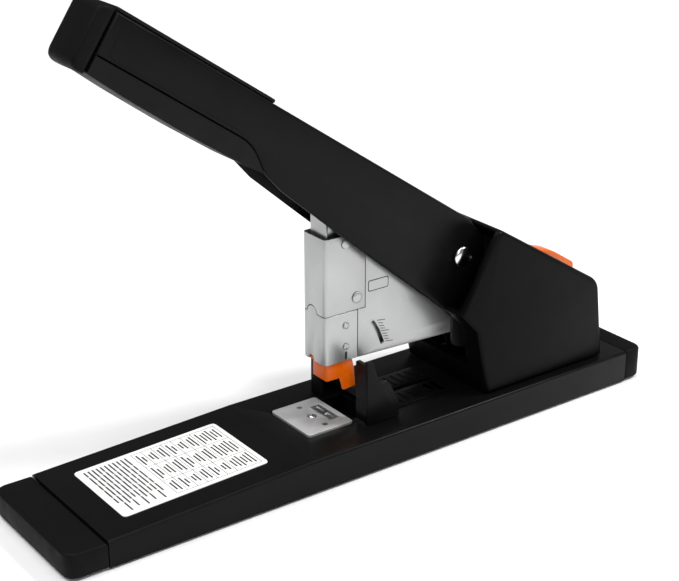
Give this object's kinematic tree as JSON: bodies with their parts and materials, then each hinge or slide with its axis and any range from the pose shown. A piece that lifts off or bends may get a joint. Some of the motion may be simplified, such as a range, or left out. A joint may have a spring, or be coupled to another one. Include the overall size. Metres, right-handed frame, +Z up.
{
  "type": "heavy-duty desk stapler",
  "caption": "Long-base heavy-duty stapler with a sprung lever, pivoting magazine and nose, anvil plate, sliding paper guide and rear housing.",
  "frame": {"origin": "on the table, under the middle of the base", "axes": "+Z up, +Y towards the rear housing, +X to the side that carries the rivet heads; the handle end is at -Y"},
  "size_m": [0.064, 0.3, 0.2064],
  "materials": {
    "black_plastic": "satin moulded",
    "cap_plastic": "fine matt grain",
    "soft_grip": "soft matt",
    "painted_steel": "black paint",
    "chrome": "satin nickel plate",
    "steel": "plain steel",
    "orange_plastic": "gloss moulded",
    "rubber": "matt",
    "paper_label": "printed film, satin"
  },
  "bodies": {
    "base": {"base_body": "black_plastic", "base_front_cap": "cap_plastic", "base_rear_cap": "cap_plastic", "rubber_foot_front_left": "rubber", "rubber_foot_front_right": "rubber", "rubber_foot_rear_left": "rubber", "rubber_foot_rear_right": "rubber", "base_weight_plate_front": "steel", "base_weight_plate_rear": "steel", "anvil_plate": "chrome", "anvil_insert": "steel", "anvil_screw": "steel", "depth_scale_plate": "black_plastic", "capacity_label": "paper_label", "rear_housing": "black_plastic", "pivot_bracket": "painted_steel", "bracket_screw_1": "steel", "bracket_screw_2": "steel", "bracket_screw_3": "steel", "bracket_screw_4": "steel", "magazine_pivot_pin": "steel", "magazine_lift_spring": "steel"},
    "guide": {"paper_guide": "black_plastic"},
    "lever": {"lever_shell": "black_plastic", "lever_grip": "soft_grip", "lever_top_pad": "soft_grip", "lever_end_cap": "cap_plastic", "lever_steel_arm": "steel", "lever_pivot_pin": "chrome", "lever_pin_clip": "steel", "lever_torsion_spring": "steel", "lever_push_bar": "steel"},
    "magazine": {"magazine_channel": "chrome", "nose_upper_sleeve": "chrome", "nose_lower_sleeve": "chrome", "nose_rivet_right_1": "chrome", "nose_rivet_right_2": "chrome", "nose_rivet_right_3": "chrome", "nose_rivet_right_4": "chrome", "staple_rail": "steel", "staple_stick": "steel"},
    "pusher": {"staple_pusher": "painted_steel", "pusher_pull_tab": "orange_plastic"},
    "latch": {"jam_release_latch": "orange_plastic"},
    "driver": {"driver_blade": "chrome", "driver_carrier": "steel"}
  },
  "joints": [
    {"name": "lever_press", "type": "hinge", "parent": "base", "child": "lever", "pos_m": [0, 0.0515, 0.0779], "axis": [1, 0, 0], "range_deg": [0, 36.8], "stiffness_Nm_per_rad": 0.6, "springref_deg": -68.75},
    {"name": "magazine_tilt", "type": "hinge", "parent": "base", "child": "magazine", "pos_m": [0, 0.112, 0.036], "axis": [1, 0, 0], "range_deg": [0, 11.5], "deforming": ["magazine_lift_spring"]},
    {"name": "driver_stroke", "type": "slide", "parent": "magazine", "child": "driver", "axis": [0, 0, -1], "range_m": [0, 0.0175]},
    {"name": "latch_retract", "type": "slide", "parent": "magazine", "child": "latch", "axis": [0, 0, 1], "range_m": [0, 0.0085]},
    {"name": "pusher_pull", "type": "slide", "parent": "magazine", "child": "pusher", "axis": [0, 1, 0], "range_m": [0, 0.045], "stiffness_N_per_m": 20, "springref_m": -0.08},
    {"name": "guide_slide", "type": "slide", "parent": "base", "child": "guide", "axis": [0, 1, 0], "range_m": [0, 0.028]}
  ],
  "couplings": [
    {"joint": "magazine_tilt", "follows": "lever_press", "ratio": 0.31},
    {"joint": "driver_stroke", "follows": "lever_press", "m_per_rad": 0.02647},
    {"joint": "latch_retract", "follows": "lever_press", "m_per_rad": 0.01261}
  ]
}
